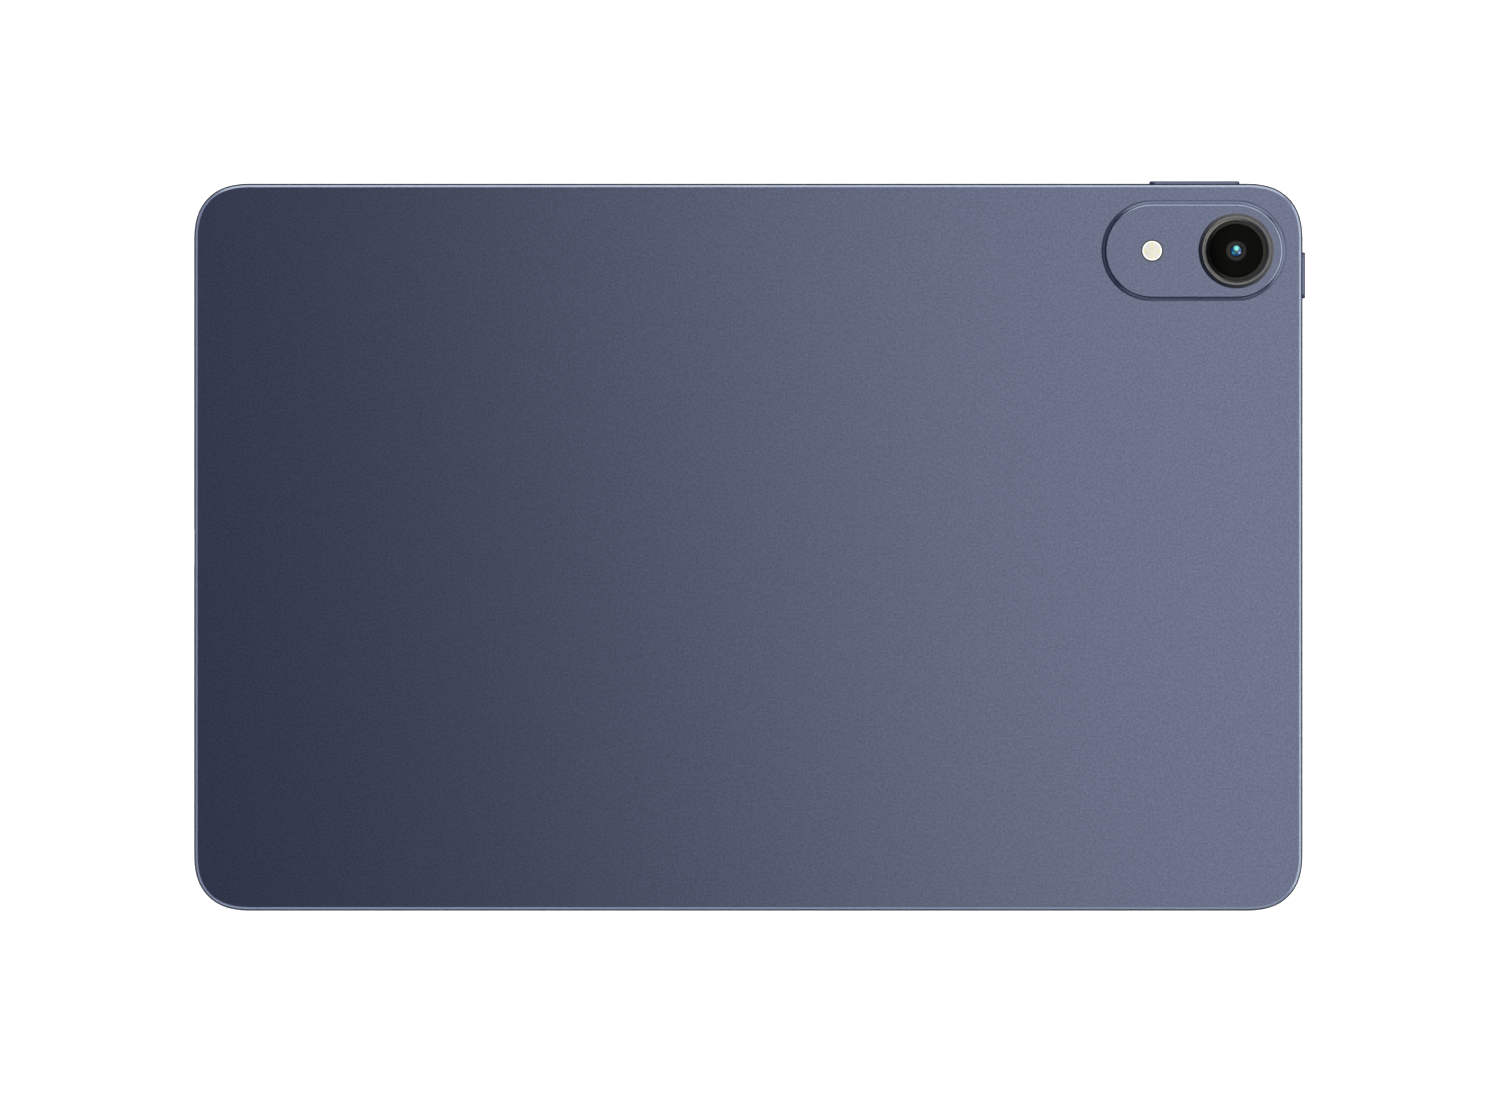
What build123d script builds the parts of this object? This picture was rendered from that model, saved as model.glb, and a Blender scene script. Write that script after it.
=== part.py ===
from build123d import *
import math
import os

# An 11-inch tablet computer with a metal rear cover, lying on its screen.
# Millimetres. X runs along the long side, Y along the short side and Z up through the thickness.
# The origin is the centre of the screen's outer face, so the screen lies on Z = 0 and the back faces up.
# +X is the end with the rear camera and the power button, +Y the long edge with the volume rocker.

# ---- driving dimensions: the whole body ----
LENGTH = 257.0
WIDTH = 168.6
THICKNESS = 7.6
CORNER_R = 10.3
SHOULDER_R = 18.0        # a gentler arc leads into each corner
SHOULDER_ANGLE = 15.0
SIDE_Z = 4.15            # height of the keys, port, tray and grilles on the side walls

# ---- the rear cover's section ----
BACK_WALL = 0.8
SIDE_WALL = 1.7
RIM_WALL = 0.95          # thinner below the step that the front frame sits on
RIM_BOTTOM_Z = 0.25
STEP_Z = 2.5
SIDE_BULGE_Z = 3.7
BACK_EDGE_IN = 0.38      # how far the curved side has come in where the bright chamfer starts
CHAMFER_WIDTH = 0.5
CHAMFER_HEIGHT = 0.48
FRONT_EDGE_IN = 0.27
FRONT_CHAMFER = 0.18
INNER_BACK_Z = THICKNESS - BACK_WALL

# ---- the display stack, from the screen up ----
GLASS_INSET = 1.5
GLASS_THICKNESS = 0.7
GLASS_EDGE_R = 0.3
LIP_INSET = 1.0
LIP_BOTTOM_Z = 0.3
ADHESIVE_THICKNESS = 0.15
PANEL_LENGTH = 240.5
PANEL_WIDTH = 152.0
PANEL_THICKNESS = 0.8
GUIDE_THICKNESS = 0.65
TRAY_FLOOR = 0.2
TRAY_WALL = 0.3
TRAY_TOP_Z = GLASS_THICKNESS + PANEL_THICKNESS + GUIDE_THICKNESS + TRAY_FLOOR
WINDOW_GAP = 0.25
DRIVER_BOARD_THICKNESS = 0.25
FRONT_CAMERA = (0.0, 79.4)
FRONT_CAMERA_R = 2.4

# ---- circuit boards and what stands on them ----
BOARD_Z = 2.95
BOARD_THICKNESS = 0.7
BOARD_TOP_Z = BOARD_Z + BOARD_THICKNESS
BOARD_CENTRE_X = 90.0
BOARD_LENGTH = 34.0
BOARD_WIDTH = 116.0
BOARD_CENTRE_Y = -2.0
CAN_HEIGHT = 1.65
CAN_WALL = 0.2
FLEX_THICKNESS = 0.1
FLEX_Z = TRAY_TOP_Z + DRIVER_BOARD_THICKNESS
COAX_R = 0.4

# ---- rear camera, flash and the raised island they stand on ----
ISLAND_CENTRE = (103.3, 68.7)
ISLAND_ARC_OFFSET = 9.75  # the camera and the flash each sit at the centre of one round end
ISLAND_R = 10.55
ISLAND_HEIGHT = 0.9
ISLAND_LEAN = 40  # degrees from upright, of the island's flank
ISLAND_FLARE_R = 1.0
ISLAND_EDGE_R = 0.12
ISLAND_TOP_Z = THICKNESS + ISLAND_HEIGHT
ISLAND_FOOT_R = ISLAND_R + ISLAND_HEIGHT * math.tan(math.radians(ISLAND_LEAN))
ISLAND_POCKET_R = ISLAND_R - BACK_WALL
ISLAND_INNER_Z = ISLAND_TOP_Z - BACK_WALL
CAMERA_CENTRE = (ISLAND_CENTRE[0] + ISLAND_ARC_OFFSET, ISLAND_CENTRE[1])
FLASH_CENTRE = (ISLAND_CENTRE[0] - ISLAND_ARC_OFFSET, ISLAND_CENTRE[1])
RING_R = 8.75
RING_NECK_R = 8.0
RING_RIDGE_R = 7.78
RING_HEIGHT = 1.0
RING_TOP_Z = ISLAND_TOP_Z + RING_HEIGHT
FIT_GAP = 0.02
CAMERA_GLASS_R = 7.05
CAMERA_GLASS_THICKNESS = 0.7
CAMERA_GLASS_TOP_Z = RING_TOP_Z - 0.3
CAMERA_GLASS_Z = CAMERA_GLASS_TOP_Z - CAMERA_GLASS_THICKNESS
MASK_THICKNESS = 0.2
MASK_HOLE_R = 2.4
BARREL_R = 2.3
LENS_TRAVEL = 0.25
BARREL_TOP_Z = CAMERA_GLASS_Z - LENS_TRAVEL - 0.1
FLASH_R = 2.35
FLASH_HOLE_R = 2.6

# ---- keys ----
VOLUME_X = 103.4
VOLUME_LENGTH = 20.9
VOLUME_PROUD = 0.55
VOLUME_END_GAP = 0.16
VOLUME_FLANGE_GAP = 0.35
POWER_Y = 63.0
POWER_LENGTH = 10.7
POWER_PROUD = 0.6
POWER_END_GAP = 0.1
POWER_FLANGE_GAP = 0.1
KEY_HEIGHT = 2.4
KEY_SIDE_GAP = 0.1
KEY_EDGE_R = 0.35
FLANGE_OVERHANG = 1.25
FLANGE_HEIGHT = 3.6
FLANGE_THICKNESS = 0.65
CARRIER_THICKNESS = 0.5
CARRIER_HEIGHT = 3.2
NUB_LENGTH = 0.3
DOME_R = 2.0
DOME_HEIGHT = 0.5
VOLUME_NUB_TRAVEL = 0.15
POWER_TRAVEL = 0.25
STOP_GAP = 0.02
FULCRUM_R = 0.45
KEY_BRACKET_THICKNESS = 0.4

# ---- card tray ----
TRAY_Y = 0.0
TRAY_FACE_LENGTH = 17.2
TRAY_FACE_HEIGHT = 2.3
TRAY_FACE_DEPTH = 1.72
TRAY_GAP = 0.08
TRAY_SHIFT = -1.4         # the carrier sits to one side, to leave room for the eject pin
TRAY_CARRIER_WIDTH = 13.2
TRAY_CARRIER_THICKNESS = 0.85
TRAY_CARRIER_DEPTH = 26.2
TRAY_END_X = LENGTH / 2 - TRAY_FACE_DEPTH - TRAY_CARRIER_DEPTH
SOCKET_ROOF_Z = SIDE_Z + 0.5
SOCKET_WALL = 0.25
EJECT_OFFSET = 6.9
EJECT_HOLE_R = 0.45
EJECT_ROD_R = 0.38
EJECT_STROKE = 1.2
LEVER_X = TRAY_END_X - 1.2
LEVER_THICKNESS = 0.8

# ---- USB-C port, speakers and microphones ----
PORT_LENGTH = 8.94
PORT_HEIGHT = 3.16
PORT_WALL = 0.3
PORT_DEPTH = 7.3
PORT_GAP = 0.12
GRILLE_Y = 35.0
GRILLE_HOLES = 9
GRILLE_PITCH = 2.3
GRILLE_HOLE_R = 0.65
MIC_Y = -18.3
MIC_X = 60.0
MIC_HOLE_R = 0.4

# ---- battery ----
CELL_SIZE = (72.0, 112.0, 3.2)
CELL_XS = (-62.0, 16.0)
TAPE_THICKNESS = 0.25

# ---- screws ----
SCREW_R = 0.55
SCREW_HOLE_R = 0.6
SCREW_HEAD_R = 1.3
SCREW_HEAD_HEIGHT = 0.35
BOSS_R = 1.7
SCREW_POINTS = (
    (77.0, 52.0), (104.5, 52.0), (77.0, 2.0), (77.0, -56.0), (104.5, -56.0), (104.5, -14.5),
    (-113.0, 13.0), (-113.0, -13.0),
)

parts = {}


# ---- helpers ----
def body_face(inset=0.0):
    """The body's plan outline, moved in by inset: straight sides and corners of three tangent arcs."""
    shoulder, middle = SHOULDER_R - inset, CORNER_R - inset
    sine, cosine = (f(math.radians(SHOULDER_ANGLE)) for f in (math.sin, math.cos))
    reach = shoulder * (sine + 1 - cosine) + middle * (cosine - sine)
    half_x, half_y = LENGTH / 2 - inset, WIDTH / 2 - inset
    turns = ((shoulder, SHOULDER_ANGLE), (middle, 90 - 2 * SHOULDER_ANGLE), (shoulder, SHOULDER_ANGLE))
    lengths = (2 * (half_x - reach), 2 * (half_y - reach))
    point, heading = Vector(reach - half_x, half_y), Vector(1, 0)
    edges = []
    for side in range(4):
        edges.append(Line(point, point + heading * lengths[side % 2]))
        for radius, turn in turns:
            edges.append(JernArc(edges[-1] @ 1, edges[-1] % 1, radius, -turn))
        point, heading = edges[-1] @ 1, edges[-1] % 1
    return make_face(Wire(edges))


def body_slab(inset, bottom, top):
    """A slab with the body's outline, moved in by inset."""
    return extrude(Pos(0, 0, bottom) * body_face(inset), top - bottom, dir=(0, 0, 1))


def block(centre_x, centre_y, bottom, size_x, size_y, height):
    """A box placed by its centre in plan and its lower face."""
    box = Box(size_x, size_y, height, align=(Align.CENTER, Align.CENTER, Align.MIN))
    return Pos(centre_x, centre_y, bottom) * box


def disc(centre, radius, bottom, top):
    """An upright cylinder between two heights."""
    cylinder = Cylinder(radius, top - bottom, align=(Align.CENTER, Align.CENTER, Align.MIN))
    return Pos(centre[0], centre[1], bottom) * cylinder


def turned(centre, points):
    """A solid of revolution about an upright axis, from (radius, height) points."""
    profile = make_face(Polyline(*[(radius, 0, height) for radius, height in points], close=True))
    return Pos(centre[0], centre[1], 0) * revolve(profile, Axis.Z)


def wall_plane(side, along, height=SIDE_Z):
    """A plane on a side wall's outermost line, facing outwards, with its own Y pointing up."""
    normal = {"right": (1, 0), "left": (-1, 0), "top": (0, 1), "bottom": (0, -1)}[side]
    if normal[0]:
        origin = (normal[0] * LENGTH / 2, along, height)
    else:
        origin = (along, normal[1] * WIDTH / 2, height)
    outward = Vector(*normal, 0)
    return Plane(origin=origin, x_dir=Vector(0, 0, 1).cross(outward), z_dir=outward)


def from_wall(plane, sketch, near, far):
    """The sketch extruded from near to far, both measured outwards from the wall's outermost line."""
    return extrude(plane.offset(near) * sketch, far - near)


def island_slab(radius, bottom, top, lean=0):
    """A slab with the camera island's stadium outline, its end radius at the foot, and its sides' lean."""
    slot = SlotCenterToCenter(2 * ISLAND_ARC_OFFSET, 2 * radius)
    return extrude(Pos(*ISLAND_CENTRE, bottom) * slot, top - bottom, taper=lean)


def round_cable(radius, bend, *points):
    """A round cable through the given points, with rounded bends."""
    path = FilletPolyline(*points, radius=bend)
    start = Plane(origin=path @ 0, z_dir=path % 0)
    return sweep(start * Circle(radius), path=path)


def group(shapes):
    """Separate solids kept together in one node."""
    return Compound(children=[solid for shape in shapes for solid in shape.solids()])


# ---- rear cover ----
def rim_profile():
    """The side wall's section: a bowed outside, a chamfer at the back and a step for the front frame."""
    edge = WIDTH / 2
    front = (edge - FRONT_EDGE_IN - FRONT_CHAMFER, RIM_BOTTOM_Z)
    side_start = (edge - FRONT_EDGE_IN, RIM_BOTTOM_Z + FRONT_CHAMFER)
    side_end = (edge - BACK_EDGE_IN, THICKNESS - CHAMFER_HEIGHT)
    back = (edge - BACK_EDGE_IN - CHAMFER_WIDTH, THICKNESS)
    inner = Polyline(
        back, (edge - SIDE_WALL - 0.5, THICKNESS), (edge - SIDE_WALL - 0.5, INNER_BACK_Z),
        (edge - SIDE_WALL, INNER_BACK_Z), (edge - SIDE_WALL, STEP_Z), (edge - RIM_WALL, STEP_Z),
        (edge - RIM_WALL, RIM_BOTTOM_Z), front,
    )
    side = ThreePointArc(side_start, (edge, SIDE_BULGE_Z), side_end)
    return make_face([Line(front, side_start), side, Line(side_end, back), *inner.edges()])


def rim_ring():
    """The rim profile carried round the whole outline."""
    path = body_face().face().outer_wire()
    start = path @ 0
    profile = Plane(origin=(start.X, 0, 0), x_dir=(0, 1, 0), z_dir=(1, 0, 0)) * rim_profile()
    return sweep(profile, path=path)


def clip_places():
    """Where the front frame snaps into the rear cover, as (side, distance along it)."""
    long_side = [(side, along) for side in ("top", "bottom") for along in (-100, -65, -30, 5, 40, 75)]
    short_side = [("left", 60), ("left", -60), ("right", -60)]
    return long_side + short_side


def grille_places():
    return [(side, y) for side in ("left", "right") for y in (GRILLE_Y, -GRILLE_Y)]


def grille_holes(side, centre_y):
    """A row of round sound holes through one side wall."""
    middle = (GRILLE_HOLES - 1) / 2
    return [
        from_wall(wall_plane(side, centre_y + (n - middle) * GRILLE_PITCH), Circle(GRILLE_HOLE_R), -3, 1)
        for n in range(GRILLE_HOLES)
    ]


def make_back():
    """The side walls, the back and the raised camera island, flared into the back at its foot."""
    back = rim_ring() + body_slab(SIDE_WALL, INNER_BACK_Z, THICKNESS)
    back = back + island_slab(ISLAND_FOOT_R, THICKNESS, ISLAND_TOP_Z, ISLAND_LEAN)
    x, y = ISLAND_CENTRE
    reach_x, reach_y = ISLAND_ARC_OFFSET + ISLAND_FOOT_R + 0.1, ISLAND_FOOT_R + 0.1

    def island_edges(height):
        near = back.edges().filter_by_position(Axis.Z, height - 0.01, height + 0.01)
        near = near.filter_by_position(Axis.X, x - reach_x, x + reach_x)
        return near.filter_by_position(Axis.Y, y - reach_y, y + reach_y)

    back = fillet(island_edges(THICKNESS), ISLAND_FLARE_R)
    back = fillet(island_edges(ISLAND_TOP_Z), ISLAND_EDGE_R)
    return back - island_slab(ISLAND_POCKET_R, THICKNESS - 3, ISLAND_INNER_Z)


def make_rear_cover():
    cover = make_back()
    bosses = [disc(point, BOSS_R, BOARD_TOP_Z, INNER_BACK_Z) for point in SCREW_POINTS]
    cover = cover + bosses
    key_slots = [
        from_wall(
            wall_plane(side, along),
            SlotOverall(length + 2 * end_gap, KEY_HEIGHT + 2 * KEY_SIDE_GAP), -3, 1,
        )
        for side, along, length, end_gap in (
            ("top", VOLUME_X, VOLUME_LENGTH, VOLUME_END_GAP),
            ("right", POWER_Y, POWER_LENGTH, POWER_END_GAP),
        )
    ]
    tray_slot = from_wall(
        wall_plane("right", TRAY_Y),
        SlotOverall(TRAY_FACE_LENGTH + 2 * TRAY_GAP, TRAY_FACE_HEIGHT + 2 * TRAY_GAP), -3, 1,
    )
    port_slot = from_wall(
        wall_plane("left", 0), SlotOverall(PORT_LENGTH + 2 * PORT_GAP, PORT_HEIGHT + 2 * PORT_GAP), -3, 1
    )
    grilles = [hole for side, y in grille_places() for hole in grille_holes(side, y)]
    mic_holes = [
        from_wall(wall_plane("left", MIC_Y), Circle(MIC_HOLE_R), -3, 1),
        from_wall(wall_plane("top", MIC_X), Circle(MIC_HOLE_R), -3, 1),
    ]
    pockets = [
        from_wall(wall_plane(side, along, STEP_Z + 0.55), Rectangle(6.4, 0.6), -2, -1.25)
        for side, along in clip_places()
    ]
    screw_holes = [disc(point, SCREW_HOLE_R, BOARD_TOP_Z, INNER_BACK_Z - 0.6) for point in SCREW_POINTS]
    back_holes = [
        disc(CAMERA_CENTRE, RING_NECK_R + FIT_GAP, THICKNESS, ISLAND_TOP_Z + 1),
        disc(FLASH_CENTRE, FLASH_HOLE_R, THICKNESS, ISLAND_TOP_Z + 1),
    ]
    cuts = key_slots + [tray_slot, port_slot] + grilles + mic_holes + pockets + screw_holes + back_holes
    return cover - cuts


# ---- display stack and front frame ----
def make_display():
    panel_z = GLASS_THICKNESS
    guide_z = panel_z + PANEL_THICKNESS
    tray_z = guide_z + GUIDE_THICKNESS
    glass = body_slab(GLASS_INSET, 0, GLASS_THICKNESS)
    glass = fillet(glass.faces().sort_by(Axis.Z)[0].edges(), GLASS_EDGE_R)
    parts["front_glass"] = glass
    parts["lcd_panel"] = block(0, 0, panel_z, PANEL_LENGTH - 1, PANEL_WIDTH - 1, PANEL_THICKNESS)
    inside = (PANEL_LENGTH - 2 * TRAY_WALL, PANEL_WIDTH - 2 * TRAY_WALL)
    parts["light_guide"] = block(0, 0, guide_z, inside[0] - 0.4, inside[1] - 0.4, GUIDE_THICKNESS)
    pan = block(0, 0, guide_z, PANEL_LENGTH, PANEL_WIDTH, GUIDE_THICKNESS + TRAY_FLOOR)
    pan = pan - block(0, 0, guide_z, inside[0], inside[1], tray_z - guide_z)
    parts["backlight_tray"] = pan
    window = (PANEL_LENGTH + 2 * WINDOW_GAP, PANEL_WIDTH + 2 * WINDOW_GAP)
    tape_top = GLASS_THICKNESS + ADHESIVE_THICKNESS
    tape = body_slab(GLASS_INSET + 0.6, GLASS_THICKNESS, tape_top)
    front_camera_hole = disc(FRONT_CAMERA, FRONT_CAMERA_R + 0.25, 0, STEP_Z + 0.5)
    parts["glass_adhesive"] = tape - block(0, 0, 0, window[0], window[1], 2) - front_camera_hole
    driver = block(112.5, 0, TRAY_TOP_Z, 10.0, 100.0, DRIVER_BOARD_THICKNESS)
    parts["display_board"] = driver


def make_bezel_frame():
    """The plastic frame that carries the glass and clips into the rear cover."""
    window = (PANEL_LENGTH + 2 * WINDOW_GAP, PANEL_WIDTH + 2 * WINDOW_GAP)
    seat = body_slab(GLASS_INSET - 0.05, 0, GLASS_THICKNESS + ADHESIVE_THICKNESS)
    frame = body_slab(LIP_INSET, LIP_BOTTOM_Z, STEP_Z) - seat
    notches = [
        from_wall(wall_plane(side, along), Rectangle(length + 4.2, 4.2), -5.2, -0.9)
        for side, along, length in (("top", VOLUME_X, VOLUME_LENGTH), ("right", POWER_Y, POWER_LENGTH))
    ]
    frame = frame - [
        block(0, 0, 0, window[0], window[1], STEP_Z + 1),
        disc(FRONT_CAMERA, FRONT_CAMERA_R + 0.25, 0, STEP_Z + 0.5),
        *notches,
    ]
    clips = []
    for side, along in clip_places():
        plane = wall_plane(side, along, STEP_Z)
        clips.append(from_wall(plane, Pos(0, 0.4) * Rectangle(5.4, 0.8), -2.35, -1.8))
        clips.append(from_wall(plane, Pos(0, 0.55) * Rectangle(5.4, 0.4), -1.8, -1.4))
    parts["bezel_frame"] = frame + clips


def make_front_camera():
    barrel = disc(FRONT_CAMERA, FRONT_CAMERA_R, GLASS_THICKNESS + 0.1, 3.2)
    body = block(FRONT_CAMERA[0], FRONT_CAMERA[1] - 1.2, 3.2, 6.0, 6.0, 1.4)
    bore = turned(FRONT_CAMERA, [(0, 0.5), (1.1, 0.5), (0.7, 1.6), (0, 1.6)])
    parts["front_camera"] = barrel + body - bore


# ---- rear camera and flash ----
def make_camera_ring():
    """The ring in the island's hole: a neck below, a sloping flank, a ridge and a bevel down to the glass."""
    foot_z = ISLAND_INNER_Z - 0.25
    top = RING_TOP_Z
    seat_r = CAMERA_GLASS_R - 0.6
    parts["camera_ring"] = turned(CAMERA_CENTRE, [
        (RING_NECK_R, foot_z), (RING_NECK_R, ISLAND_TOP_Z), (RING_R, ISLAND_TOP_Z),
        (RING_R, ISLAND_TOP_Z + 0.18), (RING_RIDGE_R + 0.22, top - 0.12), (RING_RIDGE_R + 0.1, top),
        (RING_RIDGE_R - 0.1, top), (RING_RIDGE_R - 0.2, top - 0.14), (RING_RIDGE_R - 0.3, top - 0.14),
        (RING_RIDGE_R - 0.38, top - 0.06), (CAMERA_GLASS_R + FIT_GAP, CAMERA_GLASS_TOP_Z - 0.05),
        (CAMERA_GLASS_R + FIT_GAP, CAMERA_GLASS_Z), (seat_r, CAMERA_GLASS_Z), (seat_r, foot_z),
    ])
    parts["camera_glass"] = disc(CAMERA_CENTRE, CAMERA_GLASS_R, CAMERA_GLASS_Z, CAMERA_GLASS_TOP_Z)
    mask = disc(CAMERA_CENTRE, seat_r - 0.05, CAMERA_GLASS_Z - MASK_THICKNESS, CAMERA_GLASS_Z)
    parts["camera_mask"] = mask - disc(CAMERA_CENTRE, MASK_HOLE_R, 0, RING_TOP_Z)


def make_camera():
    """The camera's own board, sensor and focus housing, and the barrel that focusing moves."""
    board_top = FLEX_Z + 0.4
    housing_top = ISLAND_INNER_Z - 0.4
    bore_r = 3.6
    housing = block(*CAMERA_CENTRE, board_top, 9.4, 9.4, housing_top - board_top)
    parts["camera_housing"] = housing - disc(CAMERA_CENTRE, bore_r, 0, THICKNESS)
    parts["image_sensor"] = block(*CAMERA_CENTRE, board_top, 5.6, 4.4, 0.5)
    board = block(*CAMERA_CENTRE, FLEX_Z, 10, 10, 0.4)
    ribbon = block(CAMERA_CENTRE[0] - 11.5, CAMERA_CENTRE[1] - 1, FLEX_Z, 18.0, 5.0, FLEX_THICKNESS)
    drop = block(CAMERA_CENTRE[0] - 18.0, CAMERA_CENTRE[1] - 10, FLEX_Z, 5.0, 23.0, FLEX_THICKNESS)
    parts["camera_flex"] = board + ribbon + drop
    top = BARREL_TOP_Z
    lens_z = top - 0.95
    carriage_r, carriage_bottom, carriage_top = bore_r - 0.3, 4.4, 6.4
    lens_r, lens_height = 1.45, 0.4
    parts["lens_barrel"] = turned(CAMERA_CENTRE, [
        (0, carriage_bottom), (carriage_r, carriage_bottom), (carriage_r, carriage_top),
        (BARREL_R, carriage_top), (BARREL_R, top), (BARREL_R - 0.3, top),
        (lens_r + 0.05, top - 0.45), (lens_r + 0.05, lens_z), (0, lens_z),
    ])
    ball_r = (lens_r ** 2 + lens_height ** 2) / (2 * lens_height)
    ball = Pos(*CAMERA_CENTRE, lens_z + lens_height - ball_r) * Sphere(ball_r)
    parts["front_lens"] = ball & disc(CAMERA_CENTRE, lens_r, lens_z, lens_z + 1)


def make_flash():
    """A clear cap held by a flange under the island, with two lamps on a small board behind it."""
    cap = disc(FLASH_CENTRE, FLASH_R, ISLAND_INNER_Z, ISLAND_TOP_Z + FIT_GAP)
    cap = fillet(cap.faces().sort_by(Axis.Z)[-1].edges(), 0.15)
    parts["flash_lens"] = cap + disc(FLASH_CENTRE, FLASH_R + 0.85, ISLAND_INNER_Z - 0.35, ISLAND_INNER_Z)
    lamp_z = ISLAND_INNER_Z - 0.9
    lamps = [block(FLASH_CENTRE[0] + dx, FLASH_CENTRE[1], lamp_z, 1.1, 1.4, 0.5) for dx in (-0.7, 0.7)]
    parts["flash_led"] = group([block(*FLASH_CENTRE, lamp_z - 0.3, 8.0, 5.0, 0.3), *lamps])


# ---- keys ----
def dome(plane, along, base, top):
    """One domed metal switch, standing on its flexible circuit."""
    height = top - base
    ball_r = (DOME_R ** 2 + height ** 2) / (2 * height)
    ball = plane.offset(top - ball_r) * Pos(along, 0) * Sphere(ball_r)
    return ball & from_wall(plane, Pos(along, 0) * Circle(DOME_R), base, top + 0.5)


def make_key(name, plane, length, proud, flange_gap, nub_offsets, nub_travel):
    """A metal key with its plastic carrier; returns them with the switches, flex and bracket behind."""
    flange_out = -SIDE_WALL - flange_gap
    flange_in = flange_out - FLANGE_THICKNESS
    carrier_in = flange_in - CARRIER_THICKNESS
    nub_end = carrier_in - NUB_LENGTH
    dome_top = nub_end - nub_travel - STOP_GAP
    dome_base = dome_top - DOME_HEIGHT
    flex_back = dome_base - FLEX_THICKNESS
    plate_back = flex_back - KEY_BRACKET_THICKNESS
    cap = from_wall(plane, SlotOverall(length, KEY_HEIGHT), flange_out, proud)
    outer_edges = cap.faces().sort_by(Axis(plane.origin, plane.z_dir))[-1].edges()
    flange = RectangleRounded(length + 2 * FLANGE_OVERHANG, FLANGE_HEIGHT, 0.8)
    parts[name] = fillet(outer_edges, KEY_EDGE_R) + from_wall(plane, flange, flange_in, flange_out)
    carrier = from_wall(plane, Rectangle(length + 0.6, CARRIER_HEIGHT), carrier_in, flange_in)
    nubs = [from_wall(plane, Pos(x, 0) * Circle(0.9), nub_end, carrier_in) for x in nub_offsets]
    parts[name + "_carrier"] = carrier + nubs
    domes = [dome(plane, x, dome_base, dome_top) for x in nub_offsets]
    flex = from_wall(plane, Rectangle(length + 1, CARRIER_HEIGHT), flex_back, dome_base)
    # The bracket is an angle: an upright plate behind the flex and a foot fixed under the back.
    rise = INNER_BACK_Z - SIDE_Z
    plate = from_wall(plane, Pos(0, rise / 2 - 1) * Rectangle(length + 3, rise + 2), plate_back, flex_back)
    foot = from_wall(plane, Pos(0, rise - 0.2) * Rectangle(length - 2, 0.4), plate_back - 2.6, flex_back)
    return domes, flex, plate + foot, carrier_in, dome_base


def make_keys():
    volume_plane = wall_plane("top", VOLUME_X)
    volume_domes, volume_flex, volume_bracket, carrier_in, dome_base = make_key(
        "volume_rocker", volume_plane, VOLUME_LENGTH, VOLUME_PROUD, VOLUME_FLANGE_GAP,
        (-7.0, 7.0), VOLUME_NUB_TRAVEL,
    )
    # The rocker turns on a round rib at the middle of its carrier, resting against the flex.
    pivot = dome_base + STOP_GAP + FULCRUM_R
    rib = volume_plane.offset(pivot) * Rot(90, 0, 0) * Cylinder(FULCRUM_R, CARRIER_HEIGHT - 0.4)
    web = from_wall(volume_plane, Rectangle(FULCRUM_R, CARRIER_HEIGHT - 0.4), pivot, carrier_in)
    parts["volume_rocker_carrier"] = parts["volume_rocker_carrier"] + [rib, web]
    power_domes, power_flex, power_bracket, _, _ = make_key(
        "power_button", wall_plane("right", POWER_Y), POWER_LENGTH, POWER_PROUD, POWER_FLANGE_GAP,
        (0.0,), POWER_TRAVEL,
    )
    parts["dome_switches"] = group([*volume_domes, *power_domes])
    parts["key_flexes"] = group([volume_flex, power_flex])
    parts["key_brackets"] = group([volume_bracket, power_bracket])


# ---- card tray and its socket ----
def make_card_tray():
    plane = wall_plane("right", TRAY_Y)
    face_in = -TRAY_FACE_DEPTH
    face = from_wall(plane, SlotOverall(TRAY_FACE_LENGTH, TRAY_FACE_HEIGHT), face_in, -0.02)
    groove = SlotOverall(TRAY_FACE_LENGTH + 1, TRAY_FACE_HEIGHT + 1)
    groove_floor = SlotOverall(TRAY_FACE_LENGTH - 0.6, TRAY_FACE_HEIGHT - 0.6)
    face = face - from_wall(plane, groove - groove_floor, -1.4, -0.9)
    seal_outer = SlotOverall(TRAY_FACE_LENGTH + TRAY_GAP, TRAY_FACE_HEIGHT + TRAY_GAP)
    parts["tray_seal"] = from_wall(plane, seal_outer - groove_floor, -1.4, -0.9)
    middle_y = TRAY_Y + TRAY_SHIFT
    size = Rectangle(TRAY_CARRIER_WIDTH, TRAY_CARRIER_THICKNESS)
    carrier = from_wall(wall_plane("right", middle_y), size, face_in - TRAY_CARRIER_DEPTH, face_in)
    wall_x = LENGTH / 2 + face_in
    # Each card lies in a shallow pocket with an open window under its contacts.
    memory_x, phone_x = wall_x - 8.5, wall_x - 21.0
    cuts = [
        block(memory_x, middle_y, SIDE_Z - 0.3, 15.2, 11.2, 2), block(memory_x, middle_y, 0, 12.0, 8.4, 8),
        block(phone_x, middle_y, SIDE_Z - 0.3, 8.8, 12.3, 2), block(phone_x, middle_y, 0, 6.4, 9.8, 8),
        from_wall(wall_plane("right", TRAY_Y + EJECT_OFFSET), Circle(EJECT_HOLE_R), -3, 1),
    ]
    parts["card_tray"] = face + carrier - cuts
    parts["card_contacts"] = group([
        block(x + dx, middle_y + dy, BOARD_TOP_Z, 0.9, 1.4, 0.05)
        for x, reach in ((memory_x, 3), (phone_x, 2)) for dx in (-1.5, 1.5)
        for dy in [1.9 * (n - reach / 2) for n in range(reach + 1)]
    ])


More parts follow.
